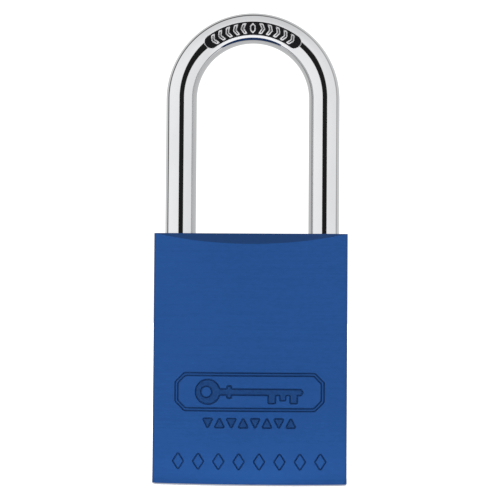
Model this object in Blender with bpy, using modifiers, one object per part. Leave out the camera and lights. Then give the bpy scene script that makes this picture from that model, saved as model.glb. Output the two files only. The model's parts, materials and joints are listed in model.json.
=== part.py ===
"""Safety padlock: bored aluminium body, round steel shackle, two locking balls and a
removable six-pin cylinder.

Metres, +Z up. The origin is under the middle of the cylinder's face, which is the lowest face.
The front faces -Y and the width runs along X. The long leg (heel) is at -X, the short leg (toe)
at +X. The padlock is modelled shut and unlocked: the plug is turned a quarter turn from the
position where the key comes out, and the balls are clear of the shackle's notches.
"""

import math

import bmesh
import bpy
from mathutils import Vector

MM = 0.001

# Body: a block with bowed front and back faces and flat sides.
BODY_WIDTH = 40.4 * MM
BODY_DEPTH = 19.4 * MM
BODY_SIDE_DEPTH = 14.8 * MM
BODY_BOTTOM = 0.3 * MM
BODY_TOP = 52.2 * MM
BODY_CORNER = 0.8 * MM
BOW = (BODY_DEPTH - BODY_SIDE_DEPTH) / 2
BOW_RADIUS = ((BODY_WIDTH / 2) ** 2 + BOW ** 2) / (2 * BOW)

# Shackle.
ROD_RADIUS = 3.25 * MM
LEG_X = 15.2 * MM
CLEARANCE_TOP = BODY_TOP + 40.9 * MM
ARCH_Z = CLEARANCE_TOP - (LEG_X - ROD_RADIUS)
LEG_BORE_RADIUS = 3.55 * MM
LIFT = 14.5 * MM
TOE_END = 40.6 * MM
TOE_BORE_FLOOR = 38.0 * MM
HEEL_END = 19.95 * MM
HEAD_TOP = 22.95 * MM
NECK_RADIUS = 2.0 * MM
NECK_TOP = 40.3 * MM
HEEL_BORE_FLOOR = 9.6 * MM
END_CHAMFER = 0.6 * MM

# Locking balls, in a cross bore between the two leg bores.
BALL_RADIUS = 3.5 * MM
BALL_Z = 45.6 * MM
BALL_WITHDRAWN_X = 8.15 * MM
BALL_TRAVEL = 1.35 * MM
BALL_BORE_RADIUS = 3.65 * MM
BALL_BORE_HALF = 13.2 * MM
BALL_GAP = 0.15 * MM

# Cylinder: housing, plug and pins. The pins point at +X when the plug is locked.
HOUSING_RADIUS = 6.7 * MM
HOUSING_TOP = 34.0 * MM
HOUSING_BORE_RADIUS = 6.9 * MM
LOBE_END = 17.6 * MM
LOBE_HALF = 3.2 * MM
LOBE_GAP = 0.2 * MM
PLUG_RADIUS = 5.0 * MM
PLUG_BORE_RADIUS = 5.15 * MM
FLANGE_RADIUS = 5.45 * MM
FLANGE_TOP = 1.2 * MM
PLUG_FACE = 0.1 * MM
STEM_RADIUS = 3.5 * MM
STEM_TOP = 36.2 * MM
TONGUE_TOP = 38.8 * MM
TONGUE_HALF = 1.1 * MM
REST_TURN = math.radians(90)

PIN_COUNT = 6
FIRST_PIN_Z = 7.5 * MM
PIN_PITCH = 4.0 * MM
CHAMBER_RADIUS = 1.5 * MM
PIN_RADIUS = 1.35 * MM
KEY_PIN_OUTER = 4.75 * MM
KEY_PIN_TIPS = [1.9 * MM, 0.9 * MM, 2.3 * MM, 0.5 * MM, 1.5 * MM, 2.1 * MM]
PLUG_CHAMBER_FLOOR = -1.6 * MM
DRIVER_INNER = 5.1 * MM
DRIVER_OUTER = 9.1 * MM
COVER_GROOVE = 16.3 * MM
COVER_HALF = 1.9 * MM

# Rotor, turned by the plug's tongue.
ROTOR_BOTTOM = 36.5 * MM
ROTOR_TOP = 49.2 * MM
ROTOR_CAVITY_TOP = 49.6 * MM
ROTOR_BASE_RADIUS = 6.65 * MM
ROTOR_BASE_TOP = 38.9 * MM
CAM_BOTTOM = 41.0 * MM
CAM_LOW = BALL_WITHDRAWN_X - BALL_RADIUS - BALL_GAP
CAM_HIGH = CAM_LOW + BALL_TRAVEL

# Small steel pieces.
CLIP_BOTTOM = 34.15 * MM
CLIP_TOP = 34.75 * MM
CLIP_GROOVE_RADIUS = 2.8 * MM
HEEL_PIN_RADIUS = 1.25 * MM
HEEL_PIN_X = -11.75 * MM
HEEL_PIN_Z = 38.8 * MM
HEEL_PIN_INNER = -5.5 * MM
HEEL_PIN_OUTER = 8.75 * MM
SCREW_HEAD_RADIUS = 2.6 * MM
SCREW_RADIUS = 1.4 * MM
SCREW_TOP = 40.0 * MM
SCREW_TIP = 30.6 * MM
SOCKET_RADIUS = 1.3 * MM
SOCKET_FLOOR = 38.9 * MM
SPRING_WIRE = 0.7 * MM
SPRING_COIL_RADIUS = 2.5 * MM
SPRING_TURNS = 6
PIN_SPRING_WIRE = 0.34 * MM
PIN_SPRING_COIL_RADIUS = 0.9 * MM
PIN_SPRING_TURNS = 5

SLACK = 2.0 * MM


def clear_scene():
    """Take away whatever the file holds."""
    for obj in list(bpy.data.objects):
        bpy.data.objects.remove(obj, do_unlink=True)


def new_group(name):
    """A collection in the scene."""
    group = bpy.data.collections.new(name)
    bpy.context.scene.collection.children.link(group)
    return group


def paint(obj, color, metallic, roughness):
    """Give a piece its own Principled material."""
    material = bpy.data.materials.new(obj.name)
    material.use_nodes = True
    shader = material.node_tree.nodes["Principled BSDF"]
    shader.inputs["Base Color"].default_value = (*color, 1.0)
    shader.inputs["Metallic"].default_value = metallic
    shader.inputs["Roughness"].default_value = roughness
    obj.data.materials.clear()
    obj.data.materials.append(material)


def link_mesh(name, bm, group):
    """Turn a bmesh into an object, smooth apart from its hard edges."""
    mesh = bpy.data.meshes.new(name)
    bm.to_mesh(mesh)
    bm.free()
    mesh.shade_smooth()
    mesh.set_sharp_from_angle(angle=math.radians(35))
    obj = bpy.data.objects.new(name, mesh)
    group.objects.link(obj)
    return obj


def rod(name, radius, start, end, group, segments=32):
    """A plain cylinder from one point to another."""
    start = Vector(start)
    end = Vector(end)
    bm = bmesh.new()
    bmesh.ops.create_cone(
        bm,
        cap_ends=True,
        segments=segments,
        radius1=radius,
        radius2=radius,
        depth=(end - start).length,
    )
    obj = link_mesh(name, bm, group)
    obj.location = (start + end) / 2
    obj.rotation_euler = (end - start).to_track_quat("Z", "Y").to_euler()
    return obj


def box(name, low, high, group):
    """A block between two corners."""
    low = Vector(low)
    high = Vector(high)
    bm = bmesh.new()
    bmesh.ops.create_cube(bm, size=1.0)
    bmesh.ops.scale(bm, vec=high - low, verts=bm.verts)
    obj = link_mesh(name, bm, group)
    obj.location = (low + high) / 2
    return obj


def ball(name, radius, center, group, segments=16, rings=12):
    """A sphere."""
    bm = bmesh.new()
    bmesh.ops.create_uvsphere(bm, u_segments=segments, v_segments=rings, radius=radius)
    obj = link_mesh(name, bm, group)
    obj.location = center
    return obj


def turned(name, profile, group, segments=32):
    """Spin a profile of (radius, height) points, listed from the top down, about Z.

    A profile that starts and ends on the axis makes a solid; a ring's profile closes on itself.
    """
    ring = profile[0][0] > 0
    points = [(radius, 0.0, height) for radius, height in profile]
    edges = [(i, i + 1) for i in range(len(points) - 1)]
    if ring:
        edges.append((len(points) - 1, 0))
    mesh = bpy.data.meshes.new(name)
    mesh.from_pydata(points, edges, [])
    obj = bpy.data.objects.new(name, mesh)
    group.objects.link(obj)
    screw = obj.modifiers.new("Turn", "SCREW")
    screw.axis = "Z"
    screw.angle = math.tau
    screw.steps = segments
    screw.render_steps = segments
    screw.use_merge_vertices = True
    screw.merge_threshold = 0.00001 * MM
    return obj


def extruded(name, outline, bottom, top, group):
    """A flat outline, listed anticlockwise, raised between two heights and made a mesh."""
    curve = bpy.data.curves.new(name, "CURVE")
    curve.dimensions = "2D"
    curve.fill_mode = "BOTH"
    curve.extrude = (top - bottom) / 2
    spline = curve.splines.new("POLY")
    spline.points.add(len(outline) - 1)
    for point, (x, y) in zip(spline.points, outline):
        point.co = (x, y, 0.0, 1.0)
    spline.use_cyclic_u = True
    guide = bpy.data.objects.new(name + "_outline", curve)
    guide.location.z = (top + bottom) / 2
    return meshed(name, guide, group)


def round_line(name, points, radius, resolution=2):
    """A round, capped curve through points, not yet in any collection."""
    curve = bpy.data.curves.new(name, "CURVE")
    curve.dimensions = "3D"
    curve.bevel_depth = radius
    curve.bevel_resolution = resolution
    curve.use_fill_caps = True
    spline = curve.splines.new("POLY")
    spline.points.add(len(points) - 1)
    for point, place in zip(spline.points, points):
        point.co = (*place, 1.0)
    return bpy.data.objects.new(name, curve)


def tube(name, points, radius, group):
    """A round wire through points, left as a curve."""
    obj = round_line(name, points, radius)
    group.objects.link(obj)
    return obj


def meshed(name, guide, group):
    """Replace an unlinked curve by its mesh, with the caps welded on."""
    bpy.context.scene.collection.objects.link(guide)
    bpy.context.view_layer.update()
    depsgraph = bpy.context.evaluated_depsgraph_get()
    mesh = bpy.data.meshes.new_from_object(guide.evaluated_get(depsgraph))
    matrix = guide.matrix_world.copy()
    bpy.data.objects.remove(guide, do_unlink=True)
    bm = bmesh.new()
    bm.from_mesh(mesh)
    bpy.data.meshes.remove(mesh)
    bmesh.ops.remove_doubles(bm, verts=bm.verts, dist=0.0001 * MM)
    bmesh.ops.recalc_face_normals(bm, faces=bm.faces)
    obj = link_mesh(name, bm, group)
    obj.matrix_world = matrix
    return obj


def combine(target, tool, operation):
    """Cut a tool from a piece, or join it on."""
    tool.hide_render = True
    tool.display_type = "WIRE"
    change = target.modifiers.new(tool.name, "BOOLEAN")
    change.operation = operation
    change.object = tool
    change.solver = "EXACT"


def cut(target, tool):
    """Take a tool's volume out of a piece."""
    combine(target, tool, "DIFFERENCE")


def join(target, tool):
    """Weld a tool's volume to a piece."""
    combine(target, tool, "UNION")


def coil_points(radius, bottom, top, turns, steps):
    """Points of a helix about Z."""
    count = int(turns * steps)
    points = []
    for i in range(count + 1):
        angle = math.tau * turns * i / count
        height = bottom + (top - bottom) * i / count
        points.append((radius * math.cos(angle), radius * math.sin(angle), height))
    return points


def pin_heights():
    """Height of each pin stack."""
    return [FIRST_PIN_Z + PIN_PITCH * i for i in range(PIN_COUNT)]


def body_outline(steps=20):
    """The body seen from above: two shallow arcs and two flat sides."""
    half = math.asin(BODY_WIDTH / 2 / BOW_RADIUS)
    center = BODY_DEPTH / 2 - BOW_RADIUS
    front = []
    for i in range(steps + 1):
        angle = -half + 2 * half * i / steps
        front.append((BOW_RADIUS * math.sin(angle), -center - BOW_RADIUS * math.cos(angle)))
    back = [(-x, -y) for x, y in front]
    return front + back


def shape_body_edges(obj):
    """Round the upright corners and slope the top's front and back edges."""
    bm = bmesh.new()
    bm.from_mesh(obj.data)
    side = BODY_WIDTH / 2 - 0.01 * MM
    upright = [
        edge
        for edge in bm.edges
        if abs(edge.verts[0].co.z - edge.verts[1].co.z) > SLACK
        and abs(edge.verts[0].co.x) > side
    ]
    bmesh.ops.bevel(
        bm, geom=upright, offset=BODY_CORNER, segments=3, profile=0.5, affect="EDGES"
    )
    local_top = BODY_TOP - obj.location.z
    for sign in (-1, 1):
        sliced = bmesh.ops.bisect_plane(
            bm,
            geom=bm.verts[:] + bm.edges[:] + bm.faces[:],
            plane_co=(0, sign * BODY_SIDE_DEPTH / 2, local_top),
            plane_no=(0, sign, 1),
            clear_outer=True,
        )
        rim = [item for item in sliced["geom_cut"] if isinstance(item, bmesh.types.BMEdge)]
        bmesh.ops.holes_fill(bm, edges=rim)
    bmesh.ops.remove_doubles(bm, verts=bm.verts, dist=0.001 * MM)
    bmesh.ops.recalc_face_normals(bm, faces=bm.faces)
    bm.to_mesh(obj.data)
    bm.free()


def make_lock_body(parts, tools):
    """The block, bored for the legs, the balls, the cylinder and its fixings."""
    body = extruded("lock_body", body_outline(), BODY_BOTTOM, BODY_TOP, parts)
    shape_body_edges(body)
    above = BODY_TOP + SLACK
    below = BODY_BOTTOM - SLACK
    cuts = [
        rod("heel_bore", LEG_BORE_RADIUS, (-LEG_X, 0, HEEL_BORE_FLOOR), (-LEG_X, 0, above), tools),
        rod("toe_bore", LEG_BORE_RADIUS, (LEG_X, 0, TOE_BORE_FLOOR), (LEG_X, 0, above), tools),
        rod(
            "cylinder_bore",
            HOUSING_BORE_RADIUS,
            (0, 0, below),
            (0, 0, ROTOR_CAVITY_TOP),
            tools,
            segments=40,
        ),
        box(
            "lobe_pocket",
            (0, -LOBE_HALF - LOBE_GAP, below),
            (LOBE_END + LOBE_GAP, LOBE_HALF + LOBE_GAP, HOUSING_TOP + 2 * LOBE_GAP),
            tools,
        ),
        rod(
            "ball_bore",
            BALL_BORE_RADIUS,
            (-BALL_BORE_HALF, 0, BALL_Z),
            (BALL_BORE_HALF, 0, BALL_Z),
            tools,
        ),
        rod(
            "screw_hole",
            SCREW_RADIUS + 0.25 * MM,
            (LEG_X, 0, HOUSING_TOP - SLACK),
            (LEG_X, 0, TOE_BORE_FLOOR + 0.5 * MM),
            tools,
            segments=20,
        ),
        rod(
            "heel_pin_hole",
            HEEL_PIN_RADIUS + BALL_GAP,
            (HEEL_PIN_X, HEEL_PIN_INNER - 2 * BALL_GAP, HEEL_PIN_Z),
            (HEEL_PIN_X, BODY_DEPTH, HEEL_PIN_Z),
            tools,
            segments=20,
        ),
    ]
    for tool in cuts:
        cut(body, tool)
    paint(body, (0.02, 0.08, 0.28), 0.9, 0.4)


def make_shackle(parts, tools):
    """A bent rod with a notch on each leg and a turned-down neck on the long one."""
    arch_steps = 24
    points = [(-LEG_X, 0, HEEL_END)]
    for i in range(arch_steps + 1):
        angle = math.pi * (1 - i / arch_steps)
        points.append((LEG_X * math.cos(angle), 0, ARCH_Z + LEG_X * math.sin(angle)))
    points.append((LEG_X, 0, TOE_END))
    shackle = meshed("shackle", round_line("shackle_line", points, ROD_RADIUS, 8), parts)

    outside = ROD_RADIUS + SLACK
    neck = turned(
        "neck_cut",
        [
            (outside, NECK_TOP),
            (outside, HEAD_TOP),
            (NECK_RADIUS, HEAD_TOP),
            (NECK_RADIUS, NECK_TOP),
        ],
        tools,
    )
    neck.location.x = -LEG_X
    cut(shackle, neck)
    for sign, end in ((-1, HEEL_END), (1, TOE_END)):
        notch_x = sign * (BALL_WITHDRAWN_X + BALL_TRAVEL)
        notch = ball(
            f"notch_cut_{end / MM:.0f}", BALL_RADIUS + BALL_GAP, (notch_x, 0, BALL_Z), tools, 20, 14
        )
        cut(shackle, notch)
        chamfer = turned(
            f"end_cut_{end / MM:.0f}",
            [
                (outside, end + END_CHAMFER + outside - ROD_RADIUS),
                (outside, end - SLACK),
                (ROD_RADIUS - END_CHAMFER - SLACK, end - SLACK),
            ],
            tools,
            24,
        )
        chamfer.location.x = sign * LEG_X
        cut(shackle, chamfer)
    paint(shackle, (0.8, 0.8, 0.82), 1.0, 0.1)


def make_housing(parts, tools):
    """Brass housing: a barrel for the plug and a lobe for the pin chambers."""
    housing = rod("cylinder_housing", HOUSING_RADIUS, (0, 0, 0), (0, 0, HOUSING_TOP), parts, 40)
    lobe = box(
        "lobe",
        (0, -LOBE_HALF, BODY_BOTTOM),
        (LOBE_END, LOBE_HALF, HOUSING_TOP - 0.02 * MM),
        tools,
    )
    join(housing, lobe)
    cuts = [
        rod(
            "plug_bore",
            PLUG_BORE_RADIUS,
            (0, 0, -SLACK),
            (0, 0, HOUSING_TOP + SLACK),
            tools,
            segments=40,
        ),
        rod(
            "flange_recess",
            FLANGE_RADIUS + BALL_GAP,
            (0, 0, -SLACK),
            (0, 0, FLANGE_TOP + LOBE_GAP),
            tools,
            segments=40,
        ),
        box(
            "cover_groove",
            (COVER_GROOVE, -COVER_HALF, FIRST_PIN_Z - COVER_HALF),
            (LOBE_END + SLACK, COVER_HALF, pin_heights()[-1] + COVER_HALF),
            tools,
        ),
        rod(
            "screw_thread",
            SCREW_RADIUS + LOBE_GAP,
            (LEG_X, 0, SCREW_TIP - LOBE_GAP),
            (LEG_X, 0, HOUSING_TOP + SLACK),
            tools,
            segments=20,
        ),
    ]
    for i, height in enumerate(pin_heights(), start=1):
        start = (PLUG_RADIUS / 2, 0, height)
        end = (COVER_GROOVE + 0.5 * MM, 0, height)
        cuts.append(rod(f"chamber_{i}", CHAMBER_RADIUS, start, end, tools, segments=20))
    for tool in cuts:
        cut(housing, tool)
    paint(housing, (0.72, 0.52, 0.22), 1.0, 0.3)


def keyway_outline():
    """The keyway across the plug: a slot with a ward on each side."""
    width = 1.05 * MM
    waist = 0.35 * MM
    return [
        (-4.0 * MM, -width),
        (-1.6 * MM, -width),
        (-1.6 * MM, -waist),
        (0.6 * MM, -waist),
        (0.6 * MM, -width),
        (3.8 * MM, -width),
        (3.8 * MM, 0.15 * MM),
        (2.2 * MM, 0.15 * MM),
        (2.2 * MM, width),
        (-0.6 * MM, width),
        (-0.6 * MM, waist),
        (-4.0 * MM, waist),
    ]


def make_plug(parts, tools, plug_axis):
    """The turning plug: flange, pin chambers, keyway, clip groove and tongue."""
    groove_bottom = HOUSING_TOP - 0.1 * MM
    groove_top = CLIP_TOP + BALL_GAP
    plug = turned(
        "plug",
        [
            (0.0, TONGUE_TOP),
            (STEM_RADIUS, TONGUE_TOP),
            (STEM_RADIUS, groove_top),
            (CLIP_GROOVE_RADIUS, groove_top),
            (CLIP_GROOVE_RADIUS, groove_bottom),
            (PLUG_RADIUS, groove_bottom),
            (PLUG_RADIUS, FLANGE_TOP),
            (FLANGE_RADIUS, FLANGE_TOP),
            (FLANGE_RADIUS, PLUG_FACE),
            (0.0, PLUG_FACE),
        ],
        parts,
        40,
    )
    cuts = [extruded("keyway", keyway_outline(), -SLACK, pin_heights()[-1] + SLACK, tools)]
    for sign in (-1, 1):
        near = sign * TONGUE_HALF
        far = sign * (STEM_RADIUS + SLACK)
        cuts.append(
            box(
                f"tongue_flat_{sign}",
                (-STEM_RADIUS - SLACK, min(near, far), STEM_TOP),
                (STEM_RADIUS + SLACK, max(near, far), TONGUE_TOP + SLACK),
                tools,
            )
        )
    for i, height in enumerate(pin_heights(), start=1):
        start = (PLUG_CHAMBER_FLOOR, 0, height)
        end = (PLUG_RADIUS + SLACK, 0, height)
        cuts.append(rod(f"plug_chamber_{i}", CHAMBER_RADIUS, start, end, tools, segments=20))
    for tool in cuts:
        tool.parent = plug_axis
        cut(plug, tool)
    plug.parent = plug_axis
    paint(plug, (0.75, 0.56, 0.26), 1.0, 0.25)


def pin_profile(inner, outer, tip_radius, tip_length):
    """A pin from its inner end to its outer end, with a tapered inner tip."""
    edge = 0.15 * MM
    return [
        (0.0, outer),
        (PIN_RADIUS - edge, outer),
        (PIN_RADIUS, outer - edge),
        (PIN_RADIUS, inner + tip_length),
        (tip_radius, inner),
        (0.0, inner),
    ]


def make_pin_stacks(parts, plug_axis):
    """Six stacks: a key pin in the plug, a driver pin and its spring in the lobe."""
    steel = (0.62, 0.62, 0.64)
    brass = (0.75, 0.56, 0.26)
    points_along_x = (0, math.pi / 2, 0)
    coil = coil_points(
        PIN_SPRING_COIL_RADIUS,
        DRIVER_OUTER + 0.4 * MM,
        COVER_GROOVE - 0.25 * MM,
        PIN_SPRING_TURNS,
        9,
    )
    for i, height in enumerate(pin_heights(), start=1):
        tip = KEY_PIN_TIPS[i - 1]
        key_pin = turned(
            f"key_pin_{i}", pin_profile(tip, KEY_PIN_OUTER, 0.35 * MM, 0.8 * MM), parts, 14
        )
        key_pin.parent = plug_axis
        driver = turned(
            f"driver_pin_{i}",
            pin_profile(DRIVER_INNER, DRIVER_OUTER, PIN_RADIUS - 0.15 * MM, 0.15 * MM),
            parts,
            14,
        )
        spring = tube(f"pin_spring_{i}", coil, PIN_SPRING_WIRE / 2, parts)
        for piece, color in ((key_pin, brass), (driver, steel), (spring, steel)):
            piece.location.z = height
            piece.rotation_euler = points_along_x
            paint(piece, color, 1.0, 0.3)


def make_chamber_cover(parts):
    """The strip pressed in over the outer ends of the chambers."""
    gap = BALL_GAP
    cover = box(
        "chamber_cover",
        (COVER_GROOVE + gap, -COVER_HALF + gap, FIRST_PIN_Z - COVER_HALF + gap),
        (LOBE_END - gap, COVER_HALF - gap, pin_heights()[-1] + COVER_HALF - gap),
        parts,
    )
    paint(cover, (0.72, 0.52, 0.22), 1.0, 0.35)


def cam_radius(angle):
    """Radius of the rotor's two lobes: a steady rise over a quarter turn, then a quick fall."""
    angle = angle % math.pi
    rise_end = math.radians(90)
    dwell_end = math.radians(102)
    fall_end = math.radians(160)
    if angle < rise_end:
        return CAM_LOW + (CAM_HIGH - CAM_LOW) * angle / rise_end
    if angle < dwell_end:
        return CAM_HIGH
    if angle < fall_end:
        return CAM_HIGH - (CAM_HIGH - CAM_LOW) * (angle - dwell_end) / (fall_end - dwell_end)
    return CAM_LOW


def make_rotor(parts, tools, plug_axis):
    """The cam that pushes the balls out, slotted below for the plug's tongue."""
    neck_radius = 4.3 * MM
    rotor = turned(
        "rotor",
        [
            (0.0, CAM_BOTTOM + 0.5 * MM),
            (neck_radius, CAM_BOTTOM + 0.5 * MM),
            (neck_radius, ROTOR_BASE_TOP),
            (ROTOR_BASE_RADIUS, ROTOR_BASE_TOP),
            (ROTOR_BASE_RADIUS, ROTOR_BOTTOM),
            (0.0, ROTOR_BOTTOM),
        ],
        parts,
        40,
    )
    outline = []
    for i in range(72):
        angle = math.tau * i / 72
        radius = cam_radius(angle)
        outline.append((radius * math.cos(angle), radius * math.sin(angle)))
    join(rotor, extruded("cam", outline, CAM_BOTTOM, ROTOR_TOP, tools))
    slot_length = STEM_RADIUS + LOBE_GAP
    slot_half = TONGUE_HALF + LOBE_GAP
    slot = box(
        "tongue_slot",
        (-slot_length, -slot_half, ROTOR_BOTTOM - SLACK),
        (slot_length, slot_half, TONGUE_TOP + 1.5 * LOBE_GAP),
        tools,
    )
    slot.parent = plug_axis
    cut(rotor, slot)
    paint(rotor, (0.6, 0.6, 0.62), 1.0, 0.35)


def make_balls(parts):
    """The two locking balls, withdrawn against the rotor."""
    for name, sign in (("left_ball", -1), ("right_ball", 1)):
        piece = ball(name, BALL_RADIUS, (sign * BALL_WITHDRAWN_X, 0, BALL_Z), parts)
        paint(piece, (0.75, 0.75, 0.77), 1.0, 0.12)


def make_circlip(parts, tools):
    """Open ring in the plug's groove, bearing on the housing's inner end."""
    inner = CLIP_GROOVE_RADIUS + 0.25 * MM
    outer = 5.9 * MM
    clip = turned(
        "plug_circlip",
        [(outer, CLIP_TOP), (outer, CLIP_BOTTOM), (inner, CLIP_BOTTOM), (inner, CLIP_TOP)],
        parts,
        28,
    )
    opening = box(
        "clip_opening",
        (-1.6 * MM, -outer - SLACK, CLIP_BOTTOM - SLACK),
        (1.6 * MM, 0, CLIP_TOP + SLACK),
        tools,
    )
    cut(clip, opening)
    paint(clip, (0.3, 0.3, 0.32), 1.0, 0.4)


def make_shackle_spring(parts):
    """Ejector spring between the heel bore's floor and the long leg's end."""
    half = SPRING_WIRE / 2
    gap = 0.12 * MM
    coil = coil_points(
        SPRING_COIL_RADIUS,
        HEEL_BORE_FLOOR + half + gap,
        HEEL_END - half - gap,
        SPRING_TURNS,
        14,
    )
    spring = tube("shackle_spring", coil, half, parts)
    spring.location.x = -LEG_X
    paint(spring, (0.5, 0.5, 0.52), 1.0, 0.35)


def make_heel_pin(parts):
    """Pin pressed in from the back, beside the long leg's neck."""
    length = HEEL_PIN_OUTER - HEEL_PIN_INNER
    edge = 0.3 * MM
    pin = turned(
        "heel_retaining_pin",
        [
            (0.0, length),
            (HEEL_PIN_RADIUS - edge, length),
            (HEEL_PIN_RADIUS, length - edge),
            (HEEL_PIN_RADIUS, edge),
            (HEEL_PIN_RADIUS - edge, 0.0),
            (0.0, 0.0),
        ],
        parts,
        20,
    )
    pin.location = (HEEL_PIN_X, HEEL_PIN_INNER, HEEL_PIN_Z)
    pin.rotation_euler = (-math.pi / 2, 0, 0)
    paint(pin, (0.6, 0.6, 0.62), 1.0, 0.3)


def make_cylinder_screw(parts, tools):
    """Socket-head screw under the short leg, holding the cylinder's lobe up."""
    seat = TOE_BORE_FLOOR + LOBE_GAP
    edge = 0.25 * MM
    screw = turned(
        "cylinder_retaining_screw",
        [
            (0.0, SCREW_TOP),
            (SCREW_HEAD_RADIUS - edge, SCREW_TOP),
            (SCREW_HEAD_RADIUS, SCREW_TOP - edge),
            (SCREW_HEAD_RADIUS, seat),
            (SCREW_RADIUS, seat),
            (SCREW_RADIUS, SCREW_TIP + 2 * edge),
            (SCREW_RADIUS - 2 * edge, SCREW_TIP),
            (0.0, SCREW_TIP),
        ],
        parts,
        20,
    )
    screw.location.x = LEG_X
    socket = rod(
        "socket",
        SOCKET_RADIUS,
        (LEG_X, 0, SOCKET_FLOOR),
        (LEG_X, 0, SCREW_TOP + SLACK),
        tools,
        segments=6,
    )
    cut(screw, socket)
    paint(screw, (0.12, 0.12, 0.13), 1.0, 0.4)


def main():
    """Build every piece."""
    clear_scene()
    parts = new_group("safety_padlock")
    tools = new_group("cutters")
    plug_axis = bpy.data.objects.new("plug_axis", None)
    plug_axis.rotation_euler.z = REST_TURN
    parts.objects.link(plug_axis)

    make_lock_body(parts, tools)
    make_shackle(parts, tools)
    make_housing(parts, tools)
    make_plug(parts, tools, plug_axis)
    make_pin_stacks(parts, plug_axis)
    make_chamber_cover(parts)
    make_rotor(parts, tools, plug_axis)
    make_balls(parts)
    make_circlip(parts, tools)
    make_shackle_spring(parts)
    make_heel_pin(parts)
    make_cylinder_screw(parts, tools)


main()
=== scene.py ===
"""Looks of the safety padlock: blue anodised body with engraved marks, chromed shackle with a
black inlay on its arch, brass cylinder and steel inner pieces.

Metres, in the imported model's frame: +Z up, the front faces -Y, the long leg is at -X.
"""

import json
import math

import bmesh
import bpy
from mathutils import Matrix, Vector


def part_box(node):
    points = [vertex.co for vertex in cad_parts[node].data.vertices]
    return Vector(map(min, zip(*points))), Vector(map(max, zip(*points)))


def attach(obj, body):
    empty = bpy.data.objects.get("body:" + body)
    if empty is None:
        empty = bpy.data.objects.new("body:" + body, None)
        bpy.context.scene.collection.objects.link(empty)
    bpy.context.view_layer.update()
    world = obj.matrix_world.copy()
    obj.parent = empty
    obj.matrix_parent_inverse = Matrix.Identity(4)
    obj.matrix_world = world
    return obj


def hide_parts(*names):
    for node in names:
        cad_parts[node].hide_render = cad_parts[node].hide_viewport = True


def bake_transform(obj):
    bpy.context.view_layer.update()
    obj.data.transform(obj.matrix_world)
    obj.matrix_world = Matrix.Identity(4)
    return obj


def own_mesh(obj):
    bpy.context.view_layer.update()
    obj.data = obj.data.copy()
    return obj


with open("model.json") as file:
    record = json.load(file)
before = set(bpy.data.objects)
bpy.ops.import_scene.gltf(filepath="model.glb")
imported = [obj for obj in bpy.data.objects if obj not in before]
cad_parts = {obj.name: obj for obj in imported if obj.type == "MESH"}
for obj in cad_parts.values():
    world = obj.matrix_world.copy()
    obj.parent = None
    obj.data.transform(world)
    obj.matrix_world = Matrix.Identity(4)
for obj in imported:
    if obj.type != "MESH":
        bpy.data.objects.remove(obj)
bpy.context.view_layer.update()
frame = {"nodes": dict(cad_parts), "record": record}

MM = 0.001
HAIR = 0.01 * MM  # how near counts as touching
SMOOTH_ANGLE = math.radians(30.0)

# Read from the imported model.
BODY_LOW, BODY_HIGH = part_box("lock_body")
SHACKLE_LOW, SHACKLE_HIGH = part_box("shackle")
PIN_LOW, PIN_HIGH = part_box("heel_retaining_pin")
BALL_LOW, BALL_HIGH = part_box("right_ball")
ROD_RADIUS = (SHACKLE_HIGH.y - SHACKLE_LOW.y) / 2
LEG_X = SHACKLE_HIGH.x - ROD_RADIUS
ARCH_Z = SHACKLE_HIGH.z - ROD_RADIUS - LEG_X
HALF_WIDTH = BODY_HIGH.x
HALF_DEPTH = BODY_HIGH.y
BALL_Z = (BALL_LOW.z + BALL_HIGH.z) / 2

# Body.
SIDE_HALF_DEPTH = 7.4 * MM
BOW = HALF_DEPTH - SIDE_HALF_DEPTH
BOW_RADIUS = (HALF_WIDTH ** 2 + BOW ** 2) / (2 * BOW)
CORNER_RADIUS = 0.8 * MM
EDGE_ROUND = 0.16 * MM
LEG_BORE_RADIUS = 3.55 * MM
BORE_CHAMFER = 0.25 * MM
HEEL_BORE_FLOOR = 9.6 * MM
TOE_BORE_FLOOR = 38.0 * MM
CYLINDER_BORE_RADIUS = 6.9 * MM
CYLINDER_BORE_TOP = 49.6 * MM
BALL_BORE_RADIUS = 3.65 * MM
BALL_BORE_HALF = 13.2 * MM
LOBE_POCKET = (17.8 * MM, 3.4 * MM, 34.4 * MM)
SCREW_HOLE_RADIUS = 1.65 * MM
PIN_HOLE_RADIUS = 1.4 * MM
PIN_HOLE_ROOM = 0.3 * MM
OVERSHOOT = 1.0 * MM

# Finish numbers of the body's faces; numbers 1 to 3 take darker blues, which are painted shade.
MILLED_PAINTED_SHADE, GROOVE_PAINTED_SHADE, MARK_INSIDE_PAINTED_SHADE = 1, 2, 3

# Shackle; the heights are those of its hidden ends.
HEAD_TOP = 22.95 * MM
NECK_TOP = 40.3 * MM
NECK_RADIUS = 2.0 * MM
TOE_END = 40.6 * MM
END_CHAMFER = 0.6 * MM
NECK_EDGE = 0.25 * MM
LEG_STEPS = 10
ARCH_STEPS = 96
BALL_LOCKED_X = 9.5 * MM
NOTCH_RADIUS = 3.65 * MM

# Pins, the springs behind the driver pins, and the spring under the long leg.
PIN_COUNT = 6
PIN_EDGE = 0.15 * MM
KEY_PIN_TIP = (0.8 * MM, 0.35 * MM)
DRIVER_PIN_TIP = (1.2 * MM, PIN_EDGE)
PIN_WIRE_RADIUS = 0.17 * MM
PIN_SPRING_TURNS = 7
HEEL_WIRE_RADIUS = 0.35 * MM
HEEL_SPRING_TURNS = 7
CLOSE_PITCH = 2.05
COIL_STEPS = 20
COIL_SIDES = 8

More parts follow.
